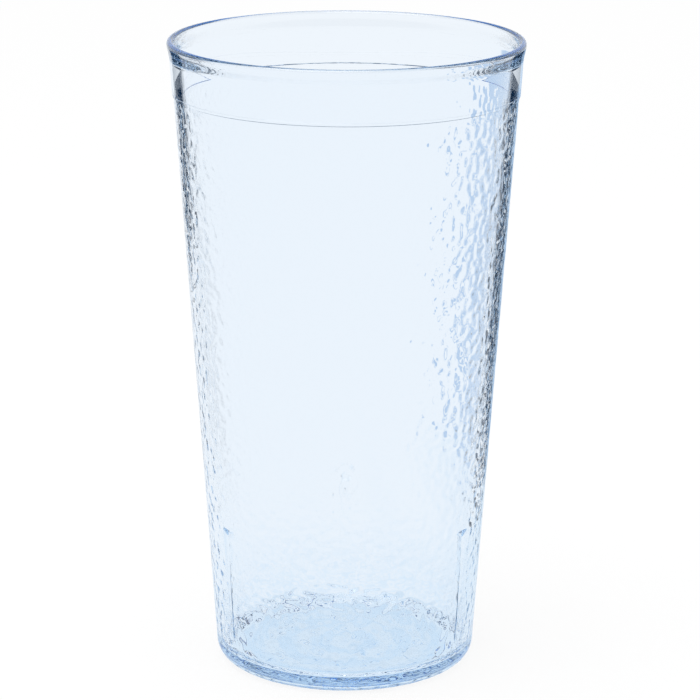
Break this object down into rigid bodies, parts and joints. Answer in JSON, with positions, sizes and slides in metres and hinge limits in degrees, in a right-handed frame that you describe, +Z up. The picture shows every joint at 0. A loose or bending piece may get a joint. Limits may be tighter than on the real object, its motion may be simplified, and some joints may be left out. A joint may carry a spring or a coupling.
{
  "type": "plastic tumbler",
  "caption": "Clear pale blue plastic drinking tumbler with a tapered pebbled body, a smooth band under the rounded lip, and stacking lugs inside.",
  "frame": {"origin": "on the cup's axis, in the plane of the foot ring that it stands on", "axes": "+Z up along the cup's axis from base to mouth; one stacking lug is on the +Y side, the other two 120 degrees either way"},
  "size_m": [0.092, 0.092, 0.166],
  "materials": {
    "clear_plastic": "clear pale blue moulded plastic, polished inside and on the band, pebbled outside the body"
  },
  "bodies": {
    "root": {"tumbler": "clear_plastic"}
  },
  "joints": []
}
